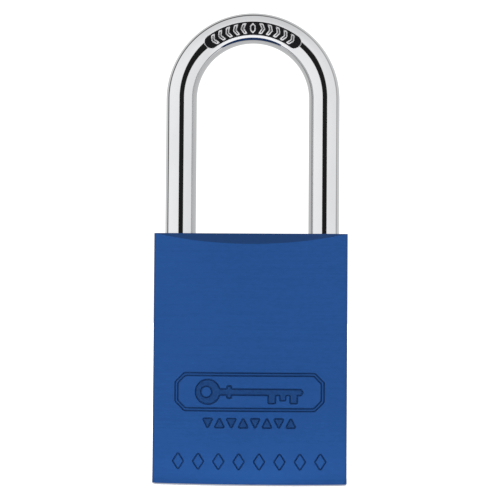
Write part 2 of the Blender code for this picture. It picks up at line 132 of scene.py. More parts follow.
# Engraving on the front.
GROOVE_HALF = 0.17 * MM
GROOVE_FLOOR_HALF = 0.11 * MM
GROOVE_DEPTH = 0.3 * MM
FRAME_HALF = (15.4 * MM, 3.9 * MM)
FRAME_Z = 19.3 * MM
FRAME_LINE_GAP = 0.55 * MM
FRAME_CUT = 1.9 * MM
FRAME_CUT_SHRINK = 0.586
KEY_EYE_X = -8.9 * MM
KEY_EYE_RADIUS = 1.15 * MM
TRIANGLE_ROW_Z = 12.9 * MM
TRIANGLE_PITCH = 2.45 * MM
TRIANGLE_SIZE = (1.05 * MM, 0.95 * MM, 1.15 * MM)
DIAMOND_ROW_Z = 5.0 * MM
DIAMOND_PITCH = 4.2 * MM
DIAMOND_HALF = (1.15 * MM, 1.75 * MM)
MARK_COUNT = 8
MARK_ZONE = 9.0 * MM

# Inlay on the front of the arch, as lengths along and round the rod.
INLAY_HALF_LENGTH = 11.15 * MM
INLAY_HALF_WIDTH = 1.49 * MM
INLAY_TURN = math.radians(-8.0)
INLAY_SKINS = (-0.05 * MM, 0.012 * MM)
MARK_LINE = 0.27 * MM
MARK_SKINS = (-0.02 * MM, 0.05 * MM)
RIM_LINE = 0.14 * MM
RIM_GROW = 0.1 * MM
RIM_SKINS = (-0.03 * MM, 0.03 * MM)
CHEVRONS = 5

# Camera.
CAMERA_AIM = Vector((-0.40 * MM, 0.0, 49.04 * MM))
CAMERA_DISTANCE = 371.9 * MM
CAMERA_AZIMUTH = math.radians(2.034)
CAMERA_TILT = math.radians(2.333)
CAMERA_ROLL = math.radians(0.397)
FOCAL_WIDTHS = 3.502
SENSOR = 36.0

# Light tent: brightness, and where it is dimmed, in degrees.
TENT = 1.2
TENT_CHANGE = 0.24
TENT_LEAN = -0.05
OVERHEAD = (20.0, 75.0)
UNDERNEATH = (-35.0, -65.0)
OPENING_AZIMUTH = math.radians(4.4)
OPENING_WIDE = (18.3, 16.1)
OPENING_TALL = (25.0, 20.0)
OPENING_DEPTH = 0.985
FLAG_BAND = (61.0, 65.0, 75.0, 80.0)
FLAG_DEPTH = 0.35
FLAG_DEPTH_LEFT = 0.5
SHADE_BAND = (14.0, 20.0, 70.0, 80.0)
SHADE_DEPTH = 0.29

# Grey card: half its width, its foot, its top, its place behind the middle. Low light: its
# width, its depth, its distance from the body, its power.
CARD = (36.0 * MM, 44.0 * MM, 96.0 * MM, 13.0 * MM)
CARD_GLOW = 0.72
CARD_SOLID = 0.6
SUN_POWER = 2.0
SUN_SPREAD = math.radians(120)
LOW_LIGHT = (60.0 * MM, 8.0 * MM, 5.0 * MM, 0.0026)
LOW_LIGHT_Z = 0.1 * MM
FLOOR_HALF = 30.0
FLOOR_GLOW = 0.4
WHITE = (1.0, 1.0, 1.0, 1.0)


# ---------------------------------------------------------------- meshes

def finish_mesh(name, bm):
    """Turn a bmesh into a linked object, smooth apart from its hard edges."""
    mesh = bpy.data.meshes.new(name)
    bm.to_mesh(mesh)
    bm.free()
    mesh.shade_smooth()
    mesh.set_sharp_from_angle(angle=SMOOTH_ANGLE)
    obj = bpy.data.objects.new(name, mesh)
    bpy.context.scene.collection.objects.link(obj)
    return obj


def lathe(name, profile, segments=96, place=(0, 0, 0), axis="Z"):
    """Spin (radius, height) points from bottom to top; both ends on the axis."""
    bm = bmesh.new()
    rings = []
    for radius, height in profile:
        if radius == 0:
            rings.append([bm.verts.new((0, 0, height))])
            continue
        ring = []
        for i in range(segments):
            angle = math.tau * i / segments
            ring.append(bm.verts.new((radius * math.cos(angle), radius * math.sin(angle), height)))
        rings.append(ring)
    for low, high in zip(rings, rings[1:]):
        bridge(bm, low, high)
    obj = finish_mesh(name, bm)
    if axis == "X":
        obj.rotation_euler.y = math.pi / 2
    if axis == "Y":
        obj.rotation_euler.x = -math.pi / 2
    obj.location = place
    return obj


def bridge(bm, low, high):
    """Faces between two rings, either of which may be one point on the axis."""
    count = max(len(low), len(high))
    for i in range(count):
        j = (i + 1) % count
        if len(low) == 1:
            bm.faces.new((low[0], high[j], high[i]))
        elif len(high) == 1:
            bm.faces.new((low[i], low[j], high[0]))
        else:
            bm.faces.new((low[i], low[j], high[j], high[i]))


def bore(name, radius, start, end, place=(0, 0, 0), axis="Z", segments=96):
    """A plain cylinder to cut with."""
    profile = [(0, start), (radius, start), (radius, end), (0, end)]
    return lathe(name, profile, segments, place, axis)


def block(name, low, high):
    """A box to cut with."""
    low = Vector(low)
    high = Vector(high)
    bm = bmesh.new()
    bmesh.ops.create_cube(bm, size=1.0)
    bmesh.ops.scale(bm, vec=high - low, verts=bm.verts)
    bmesh.ops.translate(bm, vec=(low + high) / 2, verts=bm.verts)
    return finish_mesh(name, bm)


def apply_all(obj):
    """Bake an object's modifiers and place into its mesh."""
    bpy.context.view_layer.update()
    depsgraph = bpy.context.evaluated_depsgraph_get()
    mesh = bpy.data.meshes.new_from_object(obj.evaluated_get(depsgraph))
    mesh.transform(obj.matrix_world)
    old = obj.data
    name = obj.name
    bpy.data.objects.remove(obj)
    if old.users == 0:
        bpy.data.meshes.remove(old)
    mesh.name = name
    fresh = bpy.data.objects.new(name, mesh)
    bpy.context.scene.collection.objects.link(fresh)
    return fresh


def carve(target, tools):
    """Cut tools from a piece, one after another."""
    for tool in tools:
        change = target.modifiers.new(tool.name, "BOOLEAN")
        change.operation = "DIFFERENCE"
        change.object = tool
        change.solver = "EXACT"
    fresh = apply_all(target)
    for tool in tools:
        bpy.data.objects.remove(tool)
    fresh.data.shade_smooth()
    fresh.data.set_sharp_from_angle(angle=SMOOTH_ANGLE)
    return fresh


# ---------------------------------------------------------------- outlines

def rounded(points, radius, steps=5):
    """A closed outline with every sharp corner turned into an arc."""
    result = []
    count = len(points)
    for i in range(count):
        before = Vector(points[i - 1])
        corner = Vector(points[i])
        after = Vector(points[(i + 1) % count])
        way_in = (before - corner).normalized()
        way_out = (after - corner).normalized()
        half = way_in.angle(way_out) / 2
        if half > math.radians(80):
            result.append(corner)
            continue
        reach = radius / math.tan(half)
        middle = corner + (way_in + way_out).normalized() * (radius / math.sin(half))
        first = corner + way_in * reach - middle
        last = corner + way_out * reach - middle
        turn = first.angle_signed(last)
        for k in range(steps + 1):
            spun = Matrix.Rotation(-turn * k / steps, 2) @ first
            result.append(middle + spun)
    return result


def filled_in(points, spacing):
    """The closed outline with extra points on its long straight runs."""
    result = []
    for i, point in enumerate(points):
        after = Vector(points[(i + 1) % len(points)])
        point = Vector(point)
        pieces = max(1, math.ceil((after - point).length / spacing))
        for k in range(pieces):
            result.append(point.lerp(after, k / pieces))
    return result


def circle(x, z, radius, steps):
    """A round outline."""
    angles = [math.tau * i / steps for i in range(steps)]
    return [Vector((x + radius * math.cos(a), z + radius * math.sin(a))) for a in angles]


def bow_depth(x):
    """How far the front face stands out at x, as a positive depth from the middle plane."""
    return HALF_DEPTH - BOW_RADIUS + math.sqrt(BOW_RADIUS ** 2 - x ** 2)


def offset(outline, distance):
    """The closed outline moved along its own normals."""
    result = []
    count = len(outline)
    for i in range(count):
        before = Vector(outline[i - 1])
        after = Vector(outline[(i + 1) % count])
        way = (after - before).normalized()
        result.append(Vector(outline[i]) + Vector((way.y, -way.x)) * distance)
    return result


def frame_outline(inset):
    """The engraved frame: an oblong with its corners cut off."""
    half_x = FRAME_HALF[0] - inset
    half_z = FRAME_HALF[1] - inset
    cut = FRAME_CUT - FRAME_CUT_SHRINK * inset
    points = [
        (-half_x + cut, FRAME_Z - half_z),
        (half_x - cut, FRAME_Z - half_z),
        (half_x, FRAME_Z - half_z + cut),
        (half_x, FRAME_Z + half_z - cut),
        (half_x - cut, FRAME_Z + half_z),
        (-half_x + cut, FRAME_Z + half_z),
        (-half_x, FRAME_Z + half_z - cut),
        (-half_x, FRAME_Z - half_z + cut),
    ]
    return rounded(points, 0.5 * MM)


def key_outline():
    """A plain key on its side: shaft, collar and teeth (each far, near, depth), and a round bow."""
    bow_x = -8.6 * MM
    bow_radius = 2.55 * MM
    shaft = 0.62 * MM
    start_x = -4.6 * MM
    end_x = start_x + 0.9 * MM
    reach = 1.25 * MM
    tip_x = 10.6 * MM
    point = 0.5 * MM
    teeth = ((9.9, 8.4, 2.3), (7.5, 6.3, 1.7), (5.4, 3.9, 2.3))
    start = math.asin(shaft / bow_radius)
    points = []
    steps = 40
    for i in range(steps + 1):
        angle = start + (math.tau - 2 * start) * i / steps
        points.append((bow_x + bow_radius * math.cos(angle), bow_radius * math.sin(angle)))
    points += [(start_x, -shaft), (start_x, -reach), (end_x, -reach), (end_x, -shaft)]
    for far, near, depth in reversed(teeth):
        points += [(near * MM, -shaft), (near * MM, -depth * MM)]
        points += [(far * MM, -depth * MM), (far * MM, -shaft)]
    points += [(tip_x, -shaft), (tip_x + point, 0.0), (tip_x, shaft)]
    points += [(end_x, shaft), (end_x, reach), (start_x, reach), (start_x, shaft)]
    return rounded([(x, z + FRAME_Z) for x, z in points], 0.2 * MM, 4)


def spread(pitch):
    """Places of a row of marks about the middle."""
    return [pitch * (i - (MARK_COUNT - 1) / 2) for i in range(MARK_COUNT)]


def engraving_loops():
    """Every groove's centre line: frame, key, a row of triangles, a row of diamonds."""
    loops = [frame_outline(0.0), frame_outline(FRAME_LINE_GAP)]
    loops.append(key_outline())
    loops.append(circle(KEY_EYE_X, FRAME_Z, KEY_EYE_RADIUS, 32))
    half_base, foot, tip = TRIANGLE_SIZE
    for i, x in enumerate(spread(TRIANGLE_PITCH)):
        up = 1 if i % 2 else -1
        triangle = [
            (x - up * half_base, TRIANGLE_ROW_Z - up * foot),
            (x + up * half_base, TRIANGLE_ROW_Z - up * foot),
            (x, TRIANGLE_ROW_Z + up * tip),
        ]
        loops.append(rounded(triangle, 0.2 * MM, 4))
    half_width, half_height = DIAMOND_HALF
    for x in spread(DIAMOND_PITCH):
        diamond = [
            (x, DIAMOND_ROW_Z - half_height),
            (x + half_width, DIAMOND_ROW_Z),
            (x, DIAMOND_ROW_Z + half_height),
            (x - half_width, DIAMOND_ROW_Z),
        ]
        loops.append(rounded(diamond, 0.22 * MM, 4))
    return loops


def groove_cutter(loops):
    """One closed band for each loop: wide above the face, narrower at the groove's floor."""
    bm = bmesh.new()
    above = -0.1 * MM
    wide = GROOVE_HALF * 1.1
    for loop in loops:
        line = filled_in(loop, 0.5 * MM)
        sections = (
            (offset(line, wide), above),
            (offset(line, -wide), above),
            (offset(line, -GROOVE_FLOOR_HALF), GROOVE_DEPTH),
            (offset(line, GROOVE_FLOOR_HALF), GROOVE_DEPTH),
        )
        rings = [
            [bm.verts.new((p.x, -bow_depth(p.x) + depth, p.y)) for p in points]
            for points, depth in sections
        ]
        for k in range(4):
            bridge(bm, rings[k], rings[(k + 1) % 4])
    bmesh.ops.recalc_face_normals(bm, faces=bm.faces)
    return finish_mesh("groove_cut", bm)


# ---------------------------------------------------------------- body

def in_fixed_order(bm):
    """The same mesh built again in a fixed order, as some tools give theirs in any order."""
    points = sorted(bm.verts, key=lambda point: tuple(point.co))
    ranks = {point: rank for rank, point in enumerate(points)}
    outlines = []
    for face in bm.faces:
        ring = [ranks[point] for point in face.verts]
        first = ring.index(min(ring))
        outlines.append(ring[first:] + ring[:first])
    fresh = bmesh.new()
    corners = [fresh.verts.new(point.co) for point in points]
    for ring in sorted(outlines):
        fresh.faces.new([corners[i] for i in ring])
    fresh.normal_update()
    bm.free()
    return fresh


def round_edges(bm, edges, radius, segments, **settings):
    """Round the edges of a bmesh."""
    bmesh.ops.bevel(
        bm, geom=edges, offset=radius, segments=segments, profile=0.5, affect="EDGES", **settings
    )


def body_blank():
    """The solid body with bowed faces, sloped top edges and every edge rounded."""
    bm = bmesh.new()
    steps = 96
    half = math.asin(HALF_WIDTH / BOW_RADIUS)
    front = []
    for i in range(steps + 1):
        x = BOW_RADIUS * math.sin(-half + 2 * half * i / steps)
        front.append((x, -bow_depth(x)))
    outline = front + [(-x, -y) for x, y in front]
    base = bm.faces.new([bm.verts.new((x, y, BODY_LOW.z)) for x, y in outline])
    base.normal_flip()
    raised = bmesh.ops.extrude_face_region(bm, geom=[base])
    top = [item for item in raised["geom"] if isinstance(item, bmesh.types.BMVert)]
    bmesh.ops.translate(bm, vec=(0, 0, BODY_HIGH.z - BODY_LOW.z), verts=top)
    bmesh.ops.recalc_face_normals(bm, faces=bm.faces)
    bm = in_fixed_order(bm)
    height = BODY_HIGH.z - BODY_LOW.z
    upright = [
        edge
        for edge in bm.edges
        if edge.calc_length() > 0.9 * height and abs(edge.verts[0].co.x) > HALF_WIDTH - HAIR
    ]
    round_edges(bm, upright, CORNER_RADIUS, 6)
    bm = in_fixed_order(bm)
    for sign in (-1, 1):
        sliced = bmesh.ops.bisect_plane(
            bm,
            geom=bm.verts[:] + bm.edges[:] + bm.faces[:],
            plane_co=(0, sign * SIDE_HALF_DEPTH, BODY_HIGH.z),
            plane_no=(0, sign, 1),
            clear_outer=True,
        )
        rim = [item for item in sliced["geom_cut"] if isinstance(item, bmesh.types.BMEdge)]
        bmesh.ops.holes_fill(bm, edges=rim)
        bm = in_fixed_order(bm)
    bmesh.ops.remove_doubles(bm, verts=bm.verts, dist=0.002 * MM)
    bmesh.ops.dissolve_degenerate(bm, edges=bm.edges, dist=0.002 * MM)
    bmesh.ops.recalc_face_normals(bm, faces=bm.faces)
    bm = in_fixed_order(bm)
    hard = [edge for edge in bm.edges if edge.calc_face_angle(0.0) > math.radians(28)]
    round_edges(bm, hard, EDGE_ROUND, 3, clamp_overlap=True)
    bm = in_fixed_order(bm)
    bmesh.ops.remove_doubles(bm, verts=bm.verts, dist=0.001 * MM)
    bmesh.ops.recalc_face_normals(bm, faces=bm.faces)
    return finish_mesh("padlock_body", in_fixed_order(bm))


def leg_bore(name, x, floor):
    """A leg's hole with a small chamfer at its mouth."""
    above = BODY_HIGH.z + OVERSHOOT
    mouth = BODY_HIGH.z - BORE_CHAMFER
    profile = [
        (0, floor),
        (LEG_BORE_RADIUS, floor),
        (LEG_BORE_RADIUS, mouth),
        (LEG_BORE_RADIUS + above - mouth, above),
        (0, above),
    ]
    return lathe(name, profile, place=(x, 0, 0))


def encloses(outline, x, z):
    """Whether a closed outline goes round a point."""
    result = False
    for i, after in enumerate(outline):
        before = outline[i - 1]
        if (before[1] > z) != (after[1] > z):
            share = (z - before[1]) / (after[1] - before[1])
            if x < before[0] + share * (after[0] - before[0]):
                result = not result
    return result


def sort_body_faces(body):
    """Give the ends, the grooves and the insides of the filled marks their finishes; the darker
    blues on all three are painted shade.
    """
    filled_marks = engraving_loops()[2:-MARK_COUNT]
    for face in body.data.polygons:
        x, y, z = face.center
        outside = abs(x) < HALF_WIDTH and abs(y) > 0.5 * SIDE_HALF_DEPTH
        sunk = y + bow_depth(x) if abs(x) < HALF_WIDTH else 0.0
        below_slopes = z < BODY_HIGH.z - 4.0 * MM
        # Groove walls and floors: a darker blue, painted shade in the recess.
        if 0.012 * MM < sunk < 1.2 * GROOVE_DEPTH and face.area > 0 and below_slopes:
            face.material_index = GROOVE_PAINTED_SHADE
        # Milled ends and slopes: their darker blue is painted shade; their cross grain and lower
        # roughness are their own finish.
        elif abs(face.normal.z) > 0.5 and outside:
            face.material_index = MILLED_PAINTED_SHADE
        elif face.normal.z > 0.9 and z > BODY_HIGH.z - HAIR:
            face.material_index = MILLED_PAINTED_SHADE
        elif face.normal.z < -0.9 and z < BODY_LOW.z + HAIR:
            face.material_index = MILLED_PAINTED_SHADE
        # Insides of the key and the triangles: a darker blue, painted shade.
        elif y < 0 and outside and abs(z - FRAME_Z) < MARK_ZONE:
            if sum(encloses(outline, x, z) for outline in filled_marks) % 2:
                face.material_index = MARK_INSIDE_PAINTED_SHADE


def true_bow_normals(body):
    """Shade the bowed faces by the bow's own curve, however the cuts divide them."""
    mesh = body.data
    center = HALF_DEPTH - BOW_RADIUS
    normals = [(0.0, 0.0, 0.0)] * len(mesh.loops)
    for face in mesh.polygons:
        corners = [mesh.vertices[i].co for i in face.vertices]
        if abs(face.normal.z) > 0.1 or any(abs(p.x) > HALF_WIDTH for p in corners):
            continue
        if all(abs(abs(p.y) - bow_depth(p.x)) < 0.004 * MM for p in corners):
            for loop, p in zip(face.loop_indices, corners):
                side = 1 if p.y > 0 else -1
                normals[loop] = Vector((p.x, side * (abs(p.y) - center), 0)).normalized()
    mesh.normals_split_custom_set(normals)


def make_body():
    """The engraved body, with every bore that the inner pieces sit in."""
    body = body_blank()
    body = carve(body, [groove_cutter(engraving_loops())])
    below = BODY_LOW.z - OVERSHOOT
    pocket_x, pocket_y, pocket_z = LOBE_POCKET
    pin_x = (PIN_LOW.x + PIN_HIGH.x) / 2
    pin_z = (PIN_LOW.z + PIN_HIGH.z) / 2
    chamfer = BORE_CHAMFER + OVERSHOOT
    cylinder_bore = lathe(
        "cylinder_bore_cut",
        [
            (0, below),
            (CYLINDER_BORE_RADIUS + chamfer, below),
            (CYLINDER_BORE_RADIUS, below + chamfer),
            (CYLINDER_BORE_RADIUS, CYLINDER_BORE_TOP),
            (0, CYLINDER_BORE_TOP),
        ],
    )
    tools = [
        bore(
            "pin_hole_cut",
            PIN_HOLE_RADIUS,
            PIN_LOW.y - PIN_HOLE_ROOM,
            HALF_DEPTH + OVERSHOOT,
            (pin_x, 0, pin_z),
            "Y",
            40,
        ),
        leg_bore("heel_bore_cut", -LEG_X, HEEL_BORE_FLOOR),
        leg_bore("toe_bore_cut", LEG_X, TOE_BORE_FLOOR),
        cylinder_bore,
        block("pocket_cut", (0, -pocket_y, below), (pocket_x, pocket_y, pocket_z)),
        bore(
            "ball_bore_cut",
            BALL_BORE_RADIUS,
            -BALL_BORE_HALF,
            BALL_BORE_HALF,
            (0, 0, BALL_Z),
            "X",
        ),
        bore(
            "screw_hole_cut",
            SCREW_HOLE_RADIUS,
            pocket_z - OVERSHOOT,
            TOE_BORE_FLOOR + OVERSHOOT,
            (LEG_X, 0, 0),
            segments=40,
        ),
    ]
    body = carve(body, tools)
    sort_body_faces(body)
    true_bow_normals(body)
    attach(body, "case")
    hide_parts("lock_body")
    return body


# ---------------------------------------------------------------- shackle

def shackle_stations():
    """Centre, direction and radius of each ring along the shackle, from heel to toe."""
    stations = []
    heel = [
        (SHACKLE_LOW.z, ROD_RADIUS - END_CHAMFER),
        (SHACKLE_LOW.z + END_CHAMFER, ROD_RADIUS),
        (HEAD_TOP - NECK_EDGE, ROD_RADIUS),
        (HEAD_TOP, ROD_RADIUS - NECK_EDGE),
        (HEAD_TOP, NECK_RADIUS + NECK_EDGE),
        (HEAD_TOP + NECK_EDGE, NECK_RADIUS),
        (NECK_TOP - NECK_EDGE, NECK_RADIUS),
        (NECK_TOP, NECK_RADIUS + NECK_EDGE),
        (NECK_TOP, ROD_RADIUS - NECK_EDGE),
        (NECK_TOP + NECK_EDGE, ROD_RADIUS),
    ]
    up = Vector((0, 0, 1))
    for height, radius in heel:
        stations.append((Vector((-LEG_X, 0, height)), up, radius))
    for i in range(1, LEG_STEPS):
        height = NECK_TOP + NECK_EDGE + (ARCH_Z - NECK_TOP - NECK_EDGE) * i / LEG_STEPS
        stations.append((Vector((-LEG_X, 0, height)), up, ROD_RADIUS))
    for i in range(ARCH_STEPS + 1):
        angle = math.pi * i / ARCH_STEPS
        center = Vector((-LEG_X * math.cos(angle), 0, ARCH_Z + LEG_X * math.sin(angle)))
        stations.append((center, Vector((math.sin(angle), 0, math.cos(angle))), ROD_RADIUS))
    for i in range(1, LEG_STEPS):
        height = ARCH_Z - (ARCH_Z - TOE_END - END_CHAMFER) * i / LEG_STEPS
        stations.append((Vector((LEG_X, 0, height)), -up, ROD_RADIUS))
    toe = ((TOE_END + END_CHAMFER, ROD_RADIUS), (TOE_END, ROD_RADIUS - END_CHAMFER))
    for height, radius in toe:
        stations.append((Vector((LEG_X, 0, height)), -up, radius))
    return stations


def sweep_rings(name, stations, segments):
    """A closed solid through round rings whose centres lie in the XZ plane."""
    bm = bmesh.new()
    rings = []
    for center, way, radius in stations:
        side = way.cross(Vector((0, 1, 0)))
        ring = []
        for i in range(segments):
            angle = math.tau * i / segments
            outward = Vector((0, 1, 0)) * math.sin(angle) + side * math.cos(angle)
            ring.append(bm.verts.new(center + outward * radius))
        rings.append(ring)
    for low, high in zip(rings, rings[1:]):
        bridge(bm, low, high)
    bm.faces.new(rings[0])
    bm.faces.new(rings[-1])
    bmesh.ops.recalc_face_normals(bm, faces=bm.faces)
    return finish_mesh(name, bm)


def make_shackle():
    """The chromed rod with its ball notches, its neck and its chamfered ends."""
    rod = sweep_rings("shackle_rod", shackle_stations(), 64)
    angles = [math.radians(t) for t in range(-84, 90, 6)]
    sphere = [(NOTCH_RADIUS * math.cos(a), NOTCH_RADIUS * math.sin(a)) for a in angles]
    sphere = [(0, -NOTCH_RADIUS), *sphere, (0, NOTCH_RADIUS)]
    notches = [
        lathe(f"notch_cut_{i}", sphere, 60, (sign * BALL_LOCKED_X, 0, BALL_Z))
        for i, sign in enumerate((-1, 1))
    ]
    rod = carve(rod, notches)
    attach(rod, "shackle")
    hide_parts("shackle")
    return rod


def on_arch(along, around, lift):
    """A place on the arch: lengths along it from its top and round the rod from its front."""
    angle = along / LEG_X
    turn = around / ROD_RADIUS + INLAY_TURN
    outward = Vector((math.sin(angle), 0, math.cos(angle)))
    center = Vector((0, 0, ARCH_Z)) + outward * LEG_X
    reach = ROD_RADIUS + lift
    return center + (Vector((0, -1, 0)) * math.cos(turn) + outward * math.sin(turn)) * reach


def rim_outline(steps=16):
    """The outer edge of the inlay's rim: two long sides and round ends."""
    radius = INLAY_HALF_WIDTH + RIM_GROW
    straight = INLAY_HALF_LENGTH - INLAY_HALF_WIDTH
    points = []
    for sign in (1, -1):
        for i in range(steps + 1):
            angle = -math.pi / 2 + math.pi * i / steps
            along = straight + radius * math.cos(angle)
            points.append((sign * along, sign * radius * math.sin(angle)))
    return points


def make_inlay():
    """Black field sunk into the arch's front: a thin closed patch that follows the rod."""
    bm = bmesh.new()
    columns = 72
    rows = 12
    straight = INLAY_HALF_LENGTH - INLAY_HALF_WIDTH
    skins = []
    for lift in INLAY_SKINS:
        grid = []
        for i in range(columns + 1):
            along = -INLAY_HALF_LENGTH * math.cos(math.pi * i / columns)
            past = max(0.0, abs(along) - straight)
            half = math.sqrt(max(INLAY_HALF_WIDTH ** 2 - past ** 2, (2 * HAIR) ** 2))
            across = [half * (2 * k / rows - 1) for k in range(rows + 1)]
            grid.append([bm.verts.new(on_arch(along, around, lift)) for around in across])
        for i in range(columns):
            for k in range(rows):
                bm.faces.new((grid[i][k], grid[i + 1][k], grid[i + 1][k + 1], grid[i][k + 1]))
        skins.append(grid)
    low, high = skins
    for i in range(columns):
        for k in (0, rows):
            bm.faces.new((low[i][k], low[i + 1][k], high[i + 1][k], high[i][k]))
    for i in (0, columns):
        for k in range(rows):
            bm.faces.new((low[i][k], low[i][k + 1], high[i][k + 1], high[i][k]))
    bmesh.ops.recalc_face_normals(bm, faces=bm.faces)
    inlay = finish_mesh("arch_inlay", bm)
    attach(inlay, "shackle")
    return inlay


def mark_outlines():
    """Plain marks for the inlay: a middle hexagon with chevrons pointing away from it."""
    high = 1.12 * MM
    half = 0.62 * MM
    hexagon = ((1, 0.45), (0, 1), (-1, 0.45), (-1, -0.45), (0, -1), (1, -0.45))
    outlines = [[(half * x, high * y) for x, y in hexagon]]
    for sign in (-1, 1):
        for i in range(CHEVRONS):
            start = sign * (1.25 + 1.72 * i) * MM
            tip = 0.62 * MM * sign
            thick = 0.86 * MM * sign
            chevron = [
                (start, high),
                (start + thick, high),
                (start + thick + tip, 0.0),
                (start + thick, -high),
                (start, -high),
                (start + tip, 0.0),
            ]
            outlines.append(chevron[::-1] if sign > 0 else chevron)
    return outlines


def arch_band(name, outlines, width, skins):
    """Closed bands on the arch: each outline and a copy of it further in, between two heights."""
    bottom, top = skins
    bm = bmesh.new()
    for outline in outlines:
        line = filled_in(outline, 0.3 * MM)
        inner = offset(line, -width)
        rings = [
            [bm.verts.new(on_arch(p[0], p[1], lift)) for p in points]
            for points, lift in ((line, top), (inner, top), (inner, bottom), (line, bottom))
        ]
        for k in range(4):
            bridge(bm, rings[k], rings[(k + 1) % 4])
    bmesh.ops.recalc_face_normals(bm, faces=bm.faces)
    return finish_mesh(name, bm)


def make_inlay_marks():
    """Silver outlines in the inlay, and the thin rim round it."""
    outlines = [rounded(outline, 0.12 * MM, 2) for outline in mark_outlines()]
    marks = arch_band("arch_marks", outlines, MARK_LINE, MARK_SKINS)
    rim = arch_band("arch_inlay_rim", [rim_outline()], RIM_LINE, RIM_SKINS)
    for piece in (marks, rim):
        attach(piece, "shackle")
    return [marks, rim]


# ---------------------------------------------------------------- balls, pins, springs

def make_balls():
    """The two locking balls."""
    balls = []
    for side in ("left", "right"):
        low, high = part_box(f"{side}_ball")
        radius = (high.z - low.z) / 2
        bm = bmesh.new()
        bmesh.ops.create_uvsphere(bm, u_segments=64, v_segments=32, radius=radius)
        bmesh.ops.translate(bm, vec=(low + high) / 2, verts=bm.verts)
        ball = finish_mesh(f"{side}_locking_ball", in_fixed_order(bm))
        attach(ball, f"{side}_ball")
        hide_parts(f"{side}_ball")
        balls.append(ball)
    return balls


def make_pins(kind, axis, tip):
    """Six turned pins lying along X or Y, each narrowed at its inner tip."""
    tip_radius, tip_length = tip
    pins = []
    for i in range(1, PIN_COUNT + 1):
        low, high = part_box(f"{kind}_{i}")
        radius = (high.z - low.z) / 2
        inner, outer = (low.x, high.x) if axis == "X" else (low.y, high.y)
        profile = [
            (0, inner),
            (tip_radius, inner),
            (radius, inner + tip_length),
            (radius, outer - PIN_EDGE),
            (radius - PIN_EDGE, outer),
            (0, outer),
        ]
        place = (low + high) / 2
        place["XYZ".index(axis)] = 0.0
        pin = apply_all(lathe(f"{kind}_turned_{i}", profile, 40, place, axis))
        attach(pin, f"{kind}_{i}")
        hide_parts(f"{kind}_{i}")
        pins.append(pin)
    return pins


def make_coil(name, low, high, wire, turns, upright=False):
    """A compression spring that fills a box, along X or upright, its end turns wound close."""
    if upright:
        low, high = low.zxy, high.zxy
    center = (low + high) / 2
    radius = (high.z - low.z) / 2 - wire
    close = CLOSE_PITCH * wire
    length = high.x - low.x - 2 * wire
    open_pitch = (length - 2 * close) / (turns - 2)
    bm = bmesh.new()
    rings = []
    for k in range(turns * COIL_STEPS + 1):
        turn = k / COIL_STEPS
        pitch = close if turn < 1 or turn >= turns - 1 else open_pitch
        along = close * min(turn, 1.0) + open_pitch * min(max(turn - 1, 0), turns - 2)
        along += close * max(turn - (turns - 1), 0)
        angle = math.tau * turn
        outward = Vector((0, math.cos(angle), math.sin(angle)))
        way = Vector((pitch / math.tau, -math.sin(angle) * radius, math.cos(angle) * radius))
        across = way.normalized().cross(outward)
        middle = Vector((low.x + wire + along, center.y, center.z)) + outward * radius
        ring = []
        for i in range(COIL_SIDES):
            turn_angle = math.tau * i / COIL_SIDES
            rim = outward * math.cos(turn_angle) + across * math.sin(turn_angle)
            point = middle + rim * wire
            ring.append(bm.verts.new(point.yzx if upright else point))
        rings.append(ring)
    for first, second in zip(rings, rings[1:]):
        bridge(bm, first, second)
    bm.faces.new(rings[0])
    bm.faces.new(rings[-1])
    bmesh.ops.recalc_face_normals(bm, faces=bm.faces)
    return finish_mesh(name, bm)


def make_pin_springs():
    """The coil behind each driver pin."""
    springs = []
    for i in range(1, PIN_COUNT + 1):
        low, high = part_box(f"pin_spring_{i}")
        spring = make_coil(f"pin_coil_{i}", low, high, PIN_WIRE_RADIUS, PIN_SPRING_TURNS)
        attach(spring, "case")
        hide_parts(f"pin_spring_{i}")
        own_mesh(spring)
        springs.append(spring)
    return springs


def make_shackle_spring():
    """The coil under the long leg."""
    low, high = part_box("shackle_spring")
    wire, turns = HEEL_WIRE_RADIUS, HEEL_SPRING_TURNS
    spring = make_coil("shackle_coil", low, high, wire, turns, upright=True)
    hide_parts("shackle_spring")
    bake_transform(spring)
    return spring


# ---------------------------------------------------------------- materials

EVEN = (1.0, 1.0, 1.0)
NOISE_ROUGHNESS = 0.55
NOISE_RANGE = (0.3, 0.7)
ANODISED_METALLIC = 0.55
ANODISED_SPECULAR = 0.15
SCRATCH_STRETCH_LIMITS = (0.9, 2.4)
TOOL_LINES = (1.0, 1.0, 6.0)


def new_material(name, color, metallic, roughness):
    """A Principled material and its node tree."""
    material = bpy.data.materials.new(name)
    material.use_nodes = True
    tree = material.node_tree
    shader = tree.nodes["Principled BSDF"]
    shader.inputs["Base Color"].default_value = (*color, 1.0)
    shader.inputs["Metallic"].default_value = metallic
    shader.inputs["Roughness"].default_value = roughness
    return material, tree, shader


def add(tree, kind, **settings):
    """A node with its settings."""
    node = tree.nodes.new(kind)
    for key, value in settings.items():
        setattr(node, key, value)
    return node


def math_node(tree, operation, first, second=None, third=None):
    """A maths node whose inputs are links or numbers."""
    node = add(tree, "ShaderNodeMath", operation=operation)
    for socket, value in zip(node.inputs, (first, second, third)):
        if value is None:
            continue
        if isinstance(value, (int, float)):
            socket.default_value = value
        else:
            tree.links.new(value, socket)
    return node.outputs["Value"]


def edge_step(tree, value, start, end):
    """0 before start, 1 after end, smooth between."""
    node = add(tree, "ShaderNodeMapRange", interpolation_type="SMOOTHSTEP")
    node.inputs["From Min"].default_value = start
    node.inputs["From Max"].default_value = end
    tree.links.new(value, node.inputs["Value"])
    return node.outputs["Result"]


